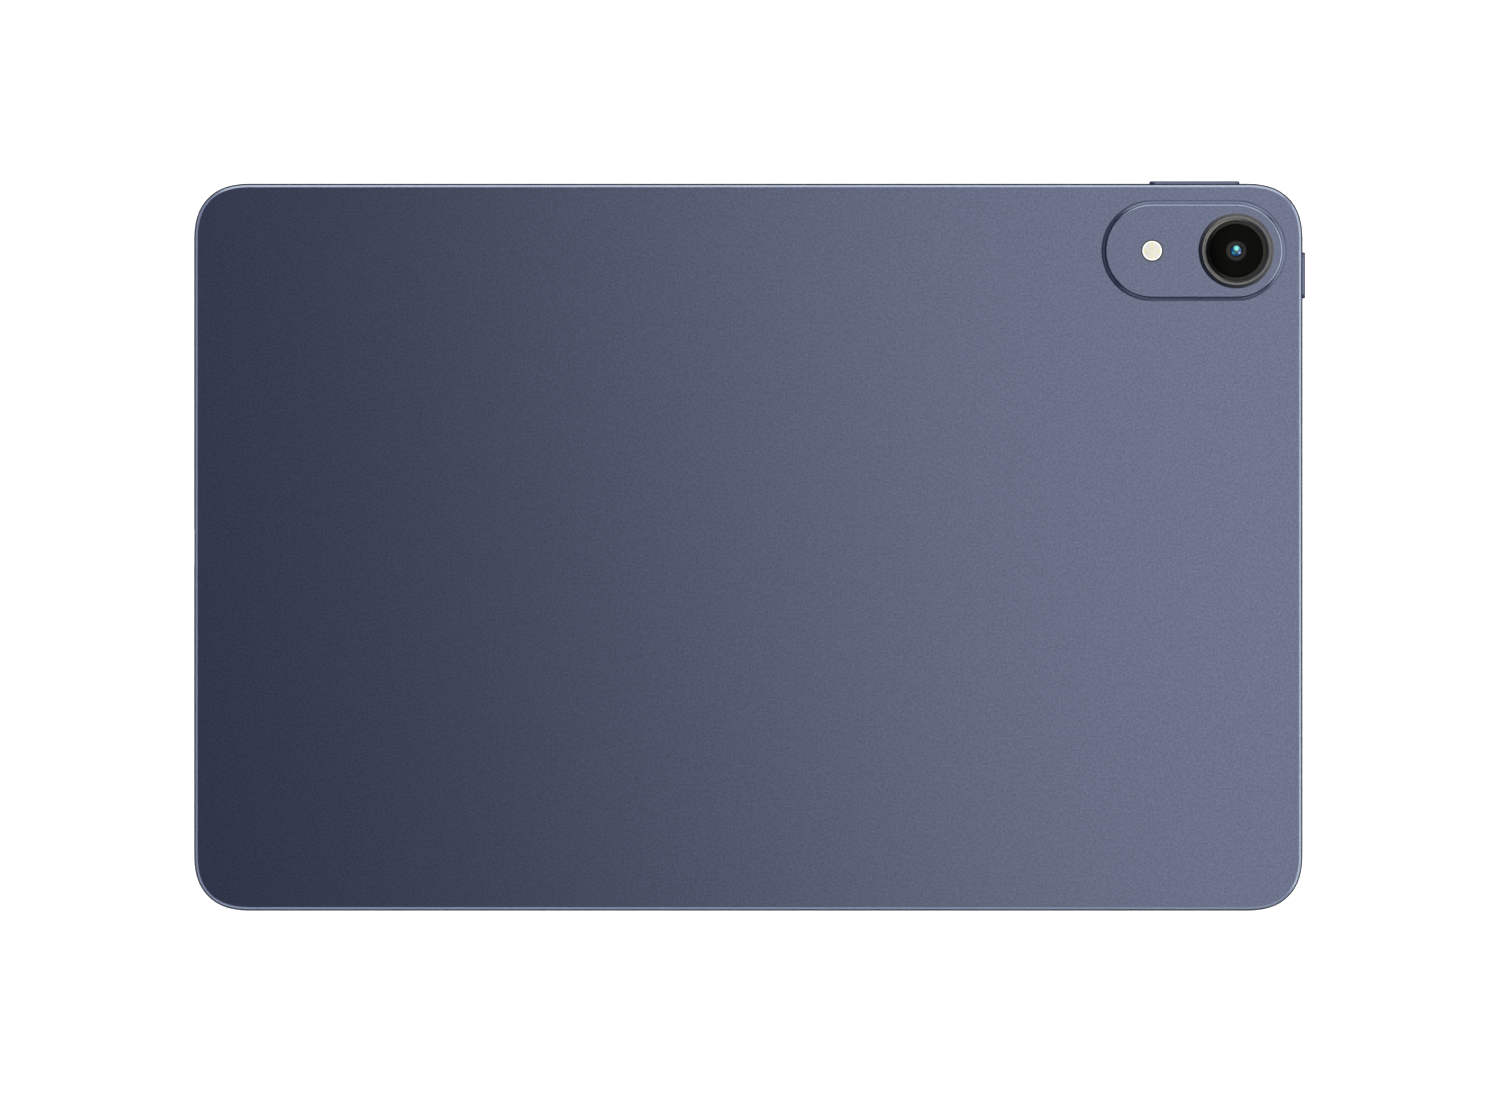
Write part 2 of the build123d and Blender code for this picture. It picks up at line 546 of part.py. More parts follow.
def make_socket():
    """The metal cage over the tray, open below to the board, and the ejector inside it."""
    front_x = LENGTH / 2 - SIDE_WALL - 1.2
    back_x = LEVER_X - 1.2
    carrier_low = TRAY_Y + TRAY_SHIFT - TRAY_CARRIER_WIDTH / 2 - 0.06
    carrier_high = TRAY_Y + TRAY_SHIFT + TRAY_CARRIER_WIDTH / 2 + 0.06
    rod_y = TRAY_Y + EJECT_OFFSET
    rod_low, rod_high = rod_y - EJECT_ROD_R - 0.05, rod_y + EJECT_ROD_R + 0.05

    def span(x1, x2, y1, y2, top):
        return block((x1 + x2) / 2, (y1 + y2) / 2, BOARD_TOP_Z, x2 - x1, y2 - y1, top - BOARD_TOP_Z)

    cage = span(
        back_x - SOCKET_WALL, front_x, carrier_low - SOCKET_WALL, rod_high + SOCKET_WALL,
        SOCKET_ROOF_Z + SOCKET_WALL,
    )
    lever_end_x = TRAY_END_X + 0.4
    parts["card_socket"] = cage - [
        span(lever_end_x - 0.1, front_x + 1, carrier_low, carrier_high, SOCKET_ROOF_Z),
        span(lever_end_x - 0.1, front_x + 1, rod_low, rod_high, SOCKET_ROOF_Z),
        span(back_x, lever_end_x, carrier_low, rod_high, SOCKET_ROOF_Z),
    ]
    # At rest the lever leans towards the rod; pushing the rod by its stroke leans it the other way.
    arm = (EJECT_OFFSET - TRAY_SHIFT) / 2 + 2.0
    pivot_y = rod_y - arm
    lean = math.degrees(math.asin(EJECT_STROKE / 2 / arm))
    lever = Pos(LEVER_X, pivot_y, SIDE_Z) * Rot(0, 0, -lean) * Box(LEVER_THICKNESS, 2 * arm, 0.5)
    pin_hole = disc((LEVER_X, pivot_y), 0.23, SIDE_Z - 1, SIDE_Z + 1)
    collar = disc((LEVER_X, pivot_y), 0.55, SIDE_Z - 0.25, SIDE_Z + 0.25)
    parts["eject_lever"] = lever + collar - pin_hole
    parts["card_socket"] = parts["card_socket"] + disc((LEVER_X, pivot_y), 0.2, BOARD_TOP_Z, SOCKET_ROOF_Z)
    rod_in = LEVER_X + EJECT_STROKE / 2 + LEVER_THICKNESS / 2 + 0.05
    rod_out = LENGTH / 2 - TRAY_FACE_DEPTH - 0.6
    rod = Cylinder(EJECT_ROD_R, rod_out - rod_in)
    parts["eject_rod"] = Pos((rod_in + rod_out) / 2, rod_y, SIDE_Z) * Rot(0, 90, 0) * rod


# ---- USB-C port ----
def make_port():
    plane = wall_plane("left", 0)
    outer = SlotOverall(PORT_LENGTH, PORT_HEIGHT)
    inner = SlotOverall(PORT_LENGTH - 2 * PORT_WALL, PORT_HEIGHT - 2 * PORT_WALL)
    shell = from_wall(plane, outer, -PORT_DEPTH, -0.08)
    shell = shell - from_wall(plane, inner, -PORT_DEPTH + 0.9, 1)
    parts["usb_shell"] = shell
    tongue = from_wall(plane, Rectangle(6.69, 0.7), -PORT_DEPTH + 0.9, -1.1)
    step = from_wall(plane, inner, -PORT_DEPTH + 0.9, -PORT_DEPTH + 1.7)
    parts["usb_tongue"] = tongue + step
    pitch, count = 0.5, 12
    contacts = [
        from_wall(plane, Pos((n - (count - 1) / 2) * pitch, up * 0.365) * Rectangle(0.26, 0.03), -5.4, -1.6)
        for n in range(count) for up in (-1, 1)
    ]
    parts["usb_contacts"] = group(contacts)
    board = block(-115.0, 0, BOARD_Z, 22.0, 32.0, BOARD_THICKNESS)
    notch = block(-125.0, 0, BOARD_Z - 1, 8.0, PORT_LENGTH + 0.2, 3)
    holes = [disc(point, SCREW_HOLE_R + 0.15, 0, 7) for point in SCREW_POINTS if point[0] < 0]
    parts["usb_board"] = board - notch - holes


# ---- speakers and microphones ----
def make_sound():
    names = {("left", 1): "speaker_top_left", ("left", -1): "speaker_bottom_left",
             ("right", 1): "speaker_top_right", ("right", -1): "speaker_bottom_right"}
    meshes = []
    for side, y in grille_places():
        plane = wall_plane(side, y, 0)
        middle = (2.6 + 6.7) / 2
        box = from_wall(plane, Pos(0, middle) * RectangleRounded(30, 4.1, 0.6), -17.5, -2.2)
        duct = from_wall(plane, Pos(0, SIDE_Z) * Rectangle(21, 2.2), -9, -1)
        cone = from_wall(plane, Pos(0, middle) * Rectangle(11, 2.4), -16, -5)
        parts[names[(side, int(math.copysign(1, y)))]] = box - duct - cone
        mesh = from_wall(plane, Pos(0, SIDE_Z) * RectangleRounded(23, 2.6, 1.2), -2.1, -SIDE_WALL)
        meshes.append(mesh)
    parts["speaker_meshes"] = group(meshes)
    capsules = [
        from_wall(wall_plane("left", MIC_Y), Rectangle(3.4, 2.6), -3.6, -1.9),
        from_wall(wall_plane("top", MIC_X), Rectangle(3.4, 2.6), -3.6, -1.9),
    ]
    parts["microphones"] = group(capsules)


# ---- boards, chips, shields ----
def make_boards():
    board = block(BOARD_CENTRE_X, BOARD_CENTRE_Y, BOARD_Z, BOARD_LENGTH, BOARD_WIDTH, BOARD_THICKNESS)
    tab = block(115.5, TRAY_Y, BOARD_Z, 18.0, 22.0, BOARD_THICKNESS)
    holes = [disc(point, SCREW_HOLE_R + 0.15, 0, 7) for point in SCREW_POINTS if point[0] > 0]
    parts["main_board"] = board + tab - holes
    cans = {"processor_shield": (88.0, 28.0, 17.0, 38.0), "radio_shield": (88.0, -30.0, 17.0, 42.0)}
    for name, (x, y, size_x, size_y) in cans.items():
        can = block(x, y, BOARD_TOP_Z, size_x, size_y, CAN_HEIGHT)
        inner = (size_x - 2 * CAN_WALL, size_y - 2 * CAN_WALL, CAN_HEIGHT - CAN_WALL)
        parts[name] = can - block(x, y, BOARD_TOP_Z, *inner)
    parts["board_chips"] = group([
        block(x, y, BOARD_TOP_Z, size_x, size_y, height)
        for x, y, size_x, size_y, height in (
            (88.0, 35.0, 13.0, 13.0, 1.0), (88.0, 18.0, 11.5, 13.0, 0.9), (86.0, -18.0, 7.0, 7.0, 0.8),
            (90.0, -31.0, 6.0, 8.0, 0.8), (85.5, -43.0, 5.0, 5.0, 0.7),
        )
    ])
    parts["heat_spreader"] = block(88.0, -2.0, BOARD_TOP_Z + CAN_HEIGHT, 15.0, 94.0, 0.12)
    connector_z = FLEX_Z + FLEX_THICKNESS
    sockets = (
        (89.0, -46.0, 4.0, 12.0), (84.0, 12.0, 4.0, 13.0), (95.05, 50.0, 4.0, 4.0), (-105.5, -3.0, 4.0, 10.0),
    )
    parts["board_connectors"] = group([
        block(x, y, connector_z, size_x, size_y, BOARD_Z - connector_z) for x, y, size_x, size_y in sockets
    ])


def make_cables():
    run = block(-8.0, -62.0, FLEX_Z, 200.0, 8.0, FLEX_THICKNESS)
    near = block(-105.5, -31.5, FLEX_Z, 5.0, 69.0, FLEX_THICKNESS)
    far = block(89.0, -54.0, FLEX_Z, 6.0, 24.0, FLEX_THICKNESS)
    parts["usb_link_cable"] = run + near + far
    parts["display_cable"] = block(97.0, 12.0, FLEX_Z, 31.0, 13.0, FLEX_THICKNESS)
    lead = block(67.0, 59.2, BOARD_TOP_Z, 38.0, 5.0, 0.3) + block(83.0, 54.0, BOARD_TOP_Z, 6.0, 10.0, 0.3)
    parts["battery_lead"] = lead
    antennas, tails = [], []
    for side, start_y, run_y in ((1, 53.0, 67.0), (-1, -53.0, -71.0)):
        antennas.append(block(-85.0, side * 79.0, STEP_Z, 34.0, 4.6, 0.3))
        start = (81.5, start_y, BOARD_TOP_Z + COAX_R) if side < 0 else (98.0, start_y, BOARD_TOP_Z + COAX_R)
        low = STEP_Z + 0.3 + COAX_R
        tails.append(round_cable(
            COAX_R, 3.0, start, (start[0], run_y, start[2]), (-72.0, run_y, low), (-72.0, side * 79.0, low),
        ))
    parts["antennas"] = group(antennas)
    parts["antenna_cables"] = group(tails)


# ---- battery ----
def make_battery():
    size_x, size_y, height = CELL_SIZE
    cell_z = INNER_BACK_Z - TAPE_THICKNESS - height
    for name, x in zip(("battery_cell_left", "battery_cell_right"), CELL_XS):
        cell = block(x, 0, cell_z, size_x, size_y, height)
        parts[name] = fillet(cell.edges().filter_by(Axis.Y), 1.2)
    tape_z = INNER_BACK_Z - TAPE_THICKNESS
    parts["battery_tape"] = group([
        block(x + shift, 0, tape_z, 16.0, 96.0, TAPE_THICKNESS) for x in CELL_XS for shift in (-18.0, 18.0)
    ])
    parts["battery_board"] = block(-12.0, size_y / 2 + 3.2, BOARD_TOP_Z + 0.3, 130.0, 5.6, 1.8)


def make_screws():
    screws = []
    for point in SCREW_POINTS:
        head = disc(point, SCREW_HEAD_R, BOARD_Z - SCREW_HEAD_HEIGHT, BOARD_Z)
        recess = Pos(*point, BOARD_Z - SCREW_HEAD_HEIGHT) * extrude(RegularPolygon(0.5, 6), 0.2)
        screws.append(head - recess + disc(point, SCREW_R, BOARD_Z, BOARD_TOP_Z + 1.8))
    parts["board_screws"] = group(screws)


parts["rear_cover"] = make_rear_cover()
make_display()
make_bezel_frame()
make_front_camera()
make_camera_ring()
make_camera()
make_flash()
make_keys()
make_card_tray()
make_socket()
make_port()
make_sound()
make_boards()
make_cables()
make_battery()
make_screws()

os.makedirs("parts", exist_ok=True)
for node, shape in parts.items():
    export_step(shape, f"parts/{node}.step")
    print(node, round(shape.volume, 1))
print(len(parts), "nodes")
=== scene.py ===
# %% [markdown]
# A tablet computer, seen from the back
# The object is a thin 11-inch tablet lying on its screen. Its hard parts come from the CAD frame, already
# in place and to size. This lesson gives them real finishes, adds the fine pieces that make the back
# believable close up, and sets a plain studio round it.

# %% Load the frame
import math

import bmesh
import bpy
from mathutils import Matrix, Vector


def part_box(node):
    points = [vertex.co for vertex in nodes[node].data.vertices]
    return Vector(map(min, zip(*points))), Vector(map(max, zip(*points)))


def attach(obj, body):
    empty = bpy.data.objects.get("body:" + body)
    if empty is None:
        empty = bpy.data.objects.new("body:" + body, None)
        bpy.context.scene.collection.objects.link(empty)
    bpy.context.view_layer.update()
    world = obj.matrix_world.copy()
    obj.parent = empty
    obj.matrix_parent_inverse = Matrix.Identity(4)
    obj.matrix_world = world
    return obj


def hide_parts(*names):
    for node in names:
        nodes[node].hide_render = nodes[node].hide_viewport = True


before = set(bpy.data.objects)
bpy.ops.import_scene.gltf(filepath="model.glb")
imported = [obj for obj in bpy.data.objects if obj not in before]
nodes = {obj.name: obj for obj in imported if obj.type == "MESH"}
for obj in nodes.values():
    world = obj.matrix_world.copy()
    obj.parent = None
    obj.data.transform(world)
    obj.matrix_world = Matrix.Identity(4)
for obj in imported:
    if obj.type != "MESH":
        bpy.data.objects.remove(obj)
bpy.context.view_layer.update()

scene = bpy.context.scene
MM = 0.001

# %% [markdown]
# The camera looks straight down on the back from eight metres away. The very long lens keeps the view
# almost parallel, as in a catalogue, so the bulge of the side walls shows as a thin even line all round.
# The lens is worked out from the width that the view has to cover at the height of the back.

# %% Camera
VIEW_WIDTH = 0.3476
CAMERA_HEIGHT = 8.0
BACK_FACE = 7.6 * MM
camera_data = bpy.data.cameras.new("studio_camera")
camera_data.sensor_width = 36.0
camera_data.lens = camera_data.sensor_width * (CAMERA_HEIGHT - BACK_FACE) / VIEW_WIDTH
camera_data.clip_start = 0.1
camera_data.clip_end = 20.0
camera = bpy.data.objects.new("studio_camera", camera_data)
camera.location = (0.38 * MM, -0.19 * MM, CAMERA_HEIGHT)
scene.collection.objects.link(camera)
scene.camera = camera

# %% [markdown]
# Every material below is made of nodes. Two helpers keep that short. The first turns an sRGB hex colour
# into the linear numbers that shaders use, and the second adds any node, with its settings and links.

# %% Node helpers
def linear(hex_colour):
    """The linear RGBA of an sRGB hex colour."""
    values = [int(hex_colour[i:i + 2], 16) / 255 for i in (1, 3, 5)]
    return (*[v / 12.92 if v <= 0.04045 else ((v + 0.055) / 1.055) ** 2.4 for v in values], 1.0)


def add_node(tree, kind, sockets=None, **settings):
    """Adds a node; sockets are given values or linked to other nodes' outputs."""
    node = tree.nodes.new(kind)
    for name, value in settings.items():
        setattr(node, name, value)
    for name, value in (sockets or {}).items():
        if isinstance(value, bpy.types.NodeSocket):
            tree.links.new(value, node.inputs[name])
        else:
            node.inputs[name].default_value = value
    return node


def start_material(name, **sockets):
    """A material with one Principled shader; underscores in socket names stand for spaces."""
    material = bpy.data.materials.new(name)
    material.use_nodes = True
    tree = material.node_tree
    shader = tree.nodes["Principled BSDF"]
    for socket, value in sockets.items():
        shader.inputs[socket.replace("_", " ")].default_value = value
    return material, tree, shader


def object_space(tree, centre=(0, 0, 0), scale=(1, 1, 1)):
    """Object coordinates in metres, measured from a centre and scaled along the axes."""
    place = add_node(tree, "ShaderNodeTexCoord").outputs["Object"]
    shifted = add_node(tree, "ShaderNodeVectorMath", {0: place, 1: centre}, operation="SUBTRACT")
    mapping = add_node(tree, "ShaderNodeMapping", {"Vector": shifted.outputs[0], "Scale": scale})
    return mapping.outputs[0]


# %% [markdown]
# The floor is a matt paper sheet, large enough that its edge never shows. It is a stage, not part of the
# object. The paper is a mid grey, and its own lamp lights it up to white. A white paper under the same
# lights is much brighter than white, and the side walls mirror it, which washes out the thin dark line
# that they draw round the back. A soft noise keeps it from being one dead value.

# %% Floor
FLOOR_SIZE = 6.0
FLOOR_DROP = 0.1 * MM


def make_floor():
    sheet = bmesh.new()
    bmesh.ops.create_grid(sheet, x_segments=8, y_segments=8, size=FLOOR_SIZE)
    mesh = bpy.data.meshes.new("studio_floor")
    sheet.to_mesh(mesh)
    sheet.free()
    floor = bpy.data.objects.new("studio_floor", mesh)
    floor.data.transform(Matrix.Translation((0, 0, -FLOOR_DROP)))
    scene.collection.objects.link(floor)
    paper, tree, shader = start_material("matt_grey_backdrop_paper", Roughness=0.9)
    cloud = add_node(tree, "ShaderNodeTexNoise", {"Vector": object_space(tree), "Scale": 1.5, "Detail": 2.0})
    tone = add_node(tree, "ShaderNodeValToRGB", {"Fac": cloud.outputs["Fac"]})
    tone.color_ramp.elements[0].color = linear("#7E7E80")
    tone.color_ramp.elements[1].color = linear("#868687")
    tree.links.new(tone.outputs["Color"], shader.inputs["Base Color"])
    floor.data.materials.append(paper)
    return floor


floor = make_floor()
print("floor at", round(floor.data.vertices[0].co.z, 5))

# %% [markdown]
# Satin metal shows whatever stands over it, so the light decides how it looks. One large softbox above
# and to the right lights the back, and fades across it as the mirror angle moves away. Wide softboxes on
# all four sides are what the chamfer and the island's flank reflect: brighter on the right and behind,
# dimmer on the left and in front. A dim slate-blue surround fills the rest. The floor has a wash of its
# own. Light linking keeps that wash off the tablet, and the tablet's shadow out of the wash, so the sheet
# stays white all round. A real studio does this less neatly, with a lit sheet far below the object.

# %% Lights
def add_softbox(name, place, aim, size, radiance, colour):
    """A rectangular light at a place, facing a point, with its brightness per unit of area."""
    light = bpy.data.lights.new(name, "AREA")
    light.shape = "RECTANGLE"
    light.size, light.size_y = size
    light.energy = radiance * math.pi * size[0] * size[1]
    light.color = linear(colour)[:3]
    lamp = bpy.data.objects.new(name, light)
    lamp.location = place
    lamp.rotation_euler = (Vector(aim) - Vector(place)).to_track_quat("-Z", "Y").to_euler()
    lamp.visible_camera = False
    scene.collection.objects.link(lamp)
    return lamp


floor_only = bpy.data.collections.new("lit_by_floor_wash")
floor_only.objects.link(floor)
floor_wash = add_softbox("floor_wash", (0.0, 0.0, 2.5), (0, 0, 0), (4.0, 4.0), 11.0, "#FFFFFF")
floor_wash.light_linking.receiver_collection = floor_only
floor_wash.light_linking.blocker_collection = floor_only

add_softbox("key_softbox", (0.209, 0.029, 0.763), (0.05, 0.0, 0.0), (0.615, 0.413), 4.05, "#FFFCE3")
SIDE_SOFTBOXES = [
    ("right_softbox", (1.6, 0.0, 0.9), (2.6, 1.6), 3.7),
    ("rear_softbox", (0.2, 1.6, 0.9), (2.6, 1.6), 3.9),
    ("left_softbox", (-1.6, 0.0, 1.0), (2.6, 0.8), 1.5),
    ("front_softbox", (0.0, -1.6, 0.8), (2.6, 1.0), 1.8),
]
for name, place, size, radiance in SIDE_SOFTBOXES:
    add_softbox(name, place, (0, 0, 0), size, radiance, "#FFFCE8")
surround = bpy.data.worlds.new("studio_surround")
surround.use_nodes = True
background = surround.node_tree.nodes["Background"]
background.inputs["Color"].default_value = linear("#616F95")
background.inputs["Strength"].default_value = 1.0
scene.world = surround
scene.view_settings.view_transform = "Standard"

# %% [markdown]
# The back, side walls, keys and tray are aluminium: bead-blasted, so that it scatters light softly, then
# anodised and dyed a dark slate blue. Some parts of it are finished in another way, and each is a band of
# heights on the body. The chamfer round the back and the edge of the raised island are smoother than the
# rest, and their colour is paler: a painted highlight, which draws the clean bright line that they catch.
# The island's flank blends from the back's dye to that paler one. That blend is a painted highlight too,
# not a known finish: without it the flank comes out too dark. The masks are 1 inside a band and 0 outside.

# %% Bands of the metal
# The paler colour in these bands and on the flank is a painted highlight; the lower roughness there is real.
EDGE_GLOSS_AND_HIGHLIGHT_BANDS = ((7.13 * MM, 7.595 * MM), (8.40 * MM, 8.497 * MM))
FLANK_START = 7.78 * MM
FLANK_FULL = 8.20 * MM
FLANK_END = 8.40 * MM
FLANK_SHARE = 0.62
WALL_TOP = 7.12 * MM


def inside_band(tree, height, low, high):
    """1 between two heights and 0 elsewhere."""
    above = add_node(tree, "ShaderNodeMath", {0: height, 1: low}, operation="GREATER_THAN").outputs[0]
    below = add_node(tree, "ShaderNodeMath", {0: height, 1: high}, operation="LESS_THAN").outputs[0]
    return add_node(tree, "ShaderNodeMath", {0: above, 1: below}, operation="MULTIPLY").outputs[0]


def edge_gloss_and_highlight_share(tree, height):
    """How much of the smoother, paler edge finish shows at a height: all on the edges, and part of it on the
    flank; the paleness is a painted highlight.
    """
    chamfer, island_edge = [inside_band(tree, height, low, high) for low, high in EDGE_GLOSS_AND_HIGHLIGHT_BANDS]
    slope = add_node(tree, "ShaderNodeMapRange", {
        "Value": height, "From Min": FLANK_START, "From Max": FLANK_FULL, "To Max": FLANK_SHARE,
    })
    on_flank = inside_band(tree, height, FLANK_START, FLANK_END)
    flank = add_node(
        tree, "ShaderNodeMath", {0: slope.outputs["Result"], 1: on_flank}, operation="MULTIPLY").outputs[0]
    edges = add_node(tree, "ShaderNodeMath", {0: chamfer, 1: island_edge}, operation="ADD").outputs[0]
    return add_node(tree, "ShaderNodeMath", {0: edges, 1: flank}, operation="ADD").outputs[0]


print("chamfer", [round(v / MM, 2) for v in EDGE_GLOSS_AND_HIGHLIGHT_BANDS[0]], "mm, walls below", round(WALL_TOP / MM, 2), "mm")

# %% [markdown]
# The metal's blasted grain is about 0.08 mm. That is too fine to show at this size, so it is drawn at
# 0.45 mm, in two close tones of the dye and a slight bump. The specular tint says how much light the metal
# mirrors at a shallow angle, where it would otherwise turn white. The walls have a much darker tint than
# the back, which is painted shade and not a known finish: it makes the walls draw a thin dark line when
# seen from above, while the back keeps its slate colour when seen from lower down.

# %% Satin anodised aluminium
GRAIN = 0.45 * MM
DYE_DARK = "#373B4F"
DYE_LIGHT = "#474C63"
# The paler colour of the chamfer and the island's edge is a painted highlight.
PAINTED_EDGE_HIGHLIGHT = "#8D96AC"
# The walls' dark specular tint is painted shade.
PAINTED_WALL_SHADE_TINT = "#2A2D38"
BACK_TINT = "#B0B4C0"
BACK_ROUGHNESS = 0.302
CUT_ROUGHNESS = 0.24


def make_anodised():
    metal, tree, shader = start_material("bead_blasted_anodised_aluminium", Metallic=1.0)
    place = object_space(tree)
    grain = add_node(tree, "ShaderNodeTexNoise", {"Vector": place, "Scale": 1 / GRAIN, "Detail": 3.0})
    dye = add_node(tree, "ShaderNodeValToRGB", {"Fac": grain.outputs["Fac"]})
    for stop, position, colour in zip(dye.color_ramp.elements, (0.25, 0.75), (DYE_DARK, DYE_LIGHT)):
        stop.position = position
        stop.color = linear(colour)
    height = add_node(tree, "ShaderNodeSeparateXYZ", {"Vector": place}).outputs["Z"]
    edge_gloss_and_highlight = edge_gloss_and_highlight_share(tree, height)
    # The edges and part of the flank are mixed towards a paler colour: a painted highlight.
    colour = add_node(
        tree, "ShaderNodeMix", {0: edge_gloss_and_highlight, 6: dye.outputs["Color"], 7: linear(PAINTED_EDGE_HIGHLIGHT)}, data_type="RGBA")
    tree.links.new(colour.outputs[2], shader.inputs["Base Color"])
    gloss = add_node(
        tree, "ShaderNodeMapRange", {"Value": edge_gloss_and_highlight, "To Min": BACK_ROUGHNESS, "To Max": CUT_ROUGHNESS})
    tree.links.new(gloss.outputs["Result"], shader.inputs["Roughness"])
    # Below the top of the walls the specular tint is dark: painted shade, for the thin dark line round the
    # back.
    wall = add_node(tree, "ShaderNodeMath", {0: height, 1: WALL_TOP}, operation="LESS_THAN").outputs[0]
    wall_shade_tint = add_node(
        tree, "ShaderNodeMix", {0: wall, 6: linear(BACK_TINT), 7: linear(PAINTED_WALL_SHADE_TINT)}, data_type="RGBA")
    tree.links.new(wall_shade_tint.outputs[2], shader.inputs["Specular Tint"])
    bump = add_node(
        tree, "ShaderNodeBump", {"Height": grain.outputs["Fac"], "Strength": 0.25, "Distance": 0.02 * MM})
    tree.links.new(bump.outputs["Normal"], shader.inputs["Normal"])
    return metal


finishes = {"shell_metal": make_anodised()}
print("made", finishes["shell_metal"].name)

# %% [markdown]
# Most other finishes are one even stuff with a texture that shows close up: a moulded plastic's spark
# texture, a rolled sheet's streaks, a foam's cells, a laminate's weave. One function makes them all. It
# spreads two tones with a pattern of a given size, lets the roughness follow it, and raises a small bump.
# A stretch draws the pattern out along one axis, which is what rolling or brushing does to metal.

# %% A textured finish
def textured(
        name, tones, size_mm, pattern="Noise", stretch=(1, 1, 1),
        metallic=0.0, roughness=0.5, bump=0.1, ior=1.5):
    """A material whose two tones, roughness and bump follow one pattern of a size in millimetres."""
    material, tree, shader = start_material(name, Metallic=metallic, IOR=ior)
    place = object_space(tree, scale=stretch)
    shape = add_node(tree, f"ShaderNodeTex{pattern}", {"Vector": place, "Scale": 1 / (size_mm * MM)})
    value = shape.outputs["Distance" if pattern == "Voronoi" else "Fac"]
    tone = add_node(tree, "ShaderNodeValToRGB", {"Fac": value})
    for stop, position, colour in zip(tone.color_ramp.elements, (0.3, 0.7), tones):
        stop.position = position
        stop.color = linear(colour)
    tree.links.new(tone.outputs["Color"], shader.inputs["Base Color"])
    gloss = add_node(tree, "ShaderNodeMapRange", {
        "Value": value, "To Min": roughness - 0.06, "To Max": roughness + 0.06,
    })
    tree.links.new(gloss.outputs["Result"], shader.inputs["Roughness"])
    relief = add_node(tree, "ShaderNodeBump", {"Height": value, "Strength": bump, "Distance": 0.03 * MM})
    tree.links.new(relief.outputs["Normal"], shader.inputs["Normal"])
    return material


# %% [markdown]
# Metals inside and at the openings. Stamped steel keeps the streaks of the rolling mill, which stretch a
# fine noise some thirty times along X. Spring steel is brighter and smoother. Contacts are nickel under
# gold, so their gloss is even. The battery's pouch is foil under nylon, embossed with a soft pebble.

# %% Metals
finishes["sheet_steel"] = textured(
    "rolled_stainless_sheet", ("#8C8C8A", "#A9A9A6"), 0.4, stretch=(0.03, 1, 1), metallic=1.0, roughness=0.36)
finishes["port_steel"] = textured(
    "drawn_stainless_steel", ("#8E8D8B", "#A5A4A1"), 0.25, stretch=(1, 0.05, 0.05), metallic=1.0,
    roughness=0.3)
finishes["spring_steel"] = textured(
    "tempered_spring_steel", ("#A3A29E", "#BAB9B4"), 0.3, stretch=(0.05, 1, 1), metallic=1.0, roughness=0.24)
finishes["screw_steel"] = textured(
    "black_nickel_plated_steel", ("#4A4A4C", "#66666A"), 0.12, metallic=1.0, roughness=0.32)
finishes["gold_contacts"] = textured(
    "gold_plated_bronze", ("#C9A24B", "#DDBB66"), 0.15, metallic=1.0, roughness=0.25)
finishes["pouch_foil"] = textured(
    "aluminium_pouch_laminate", ("#8F9296", "#B1B4B8"), 1.4, "Voronoi", metallic=0.8, roughness=0.4, bump=0.5)
print("finishes", len(finishes))

# %% [markdown]
# Plastics and rubber. Moulded parts near the screen are black nylon with glass fibre, whose surface is
# spark-eroded to hide flow marks. Carriers are natural nylon, off white. Tapes are foam with fine cells.
# The sealing lip of the tray is silicone, smooth and slightly waxy.

# %% Plastics and rubber
finishes["frame_plastic"] = textured(
    "glass_filled_nylon", ("#131416", "#1E1F22"), 0.25, roughness=0.55, bump=0.3)
finishes["speaker_plastic"] = textured(
    "moulded_black_polycarbonate", ("#17181A", "#222327"), 0.3, roughness=0.5, bump=0.3)
finishes["carrier_plastic"] = textured(
    "natural_nylon", ("#C9C6BC", "#DAD7CE"), 0.5, roughness=0.45, bump=0.15)
finishes["connector_plastic"] = textured(
    "liquid_crystal_polymer", ("#B9AE98", "#CFC6B3"), 0.4, roughness=0.5, bump=0.2)
finishes["tongue_plastic"] = textured(
    "black_liquid_crystal_polymer", ("#141415", "#202022"), 0.2, roughness=0.45)
finishes["cable_jacket"] = textured(
    "black_fluoropolymer_jacket", ("#1A1A1C", "#27272A"), 0.3, roughness=0.35)
finishes["foam_tape"] = textured(
    "black_closed_cell_foam", ("#101011", "#26262A"), 0.3, "Voronoi", roughness=0.8, bump=0.6)
finishes["silicone"] = textured(
    "moulded_silicone_rubber", ("#1B1C1F", "#2A2B30"), 0.6, roughness=0.6, bump=0.1)
print("finishes", len(finishes))

# %% [markdown]
# Boards, films and chips. The boards are woven glass in epoxy under green solder resist, and the weave
# shows through as a soft check of about 0.5 mm. Flexible circuits are amber polyimide over copper strips,
# drawn as fine bands. Chips are black epoxy with a moulded grain, and the heat spreader is pressed
# graphite, a dark metallic grey.

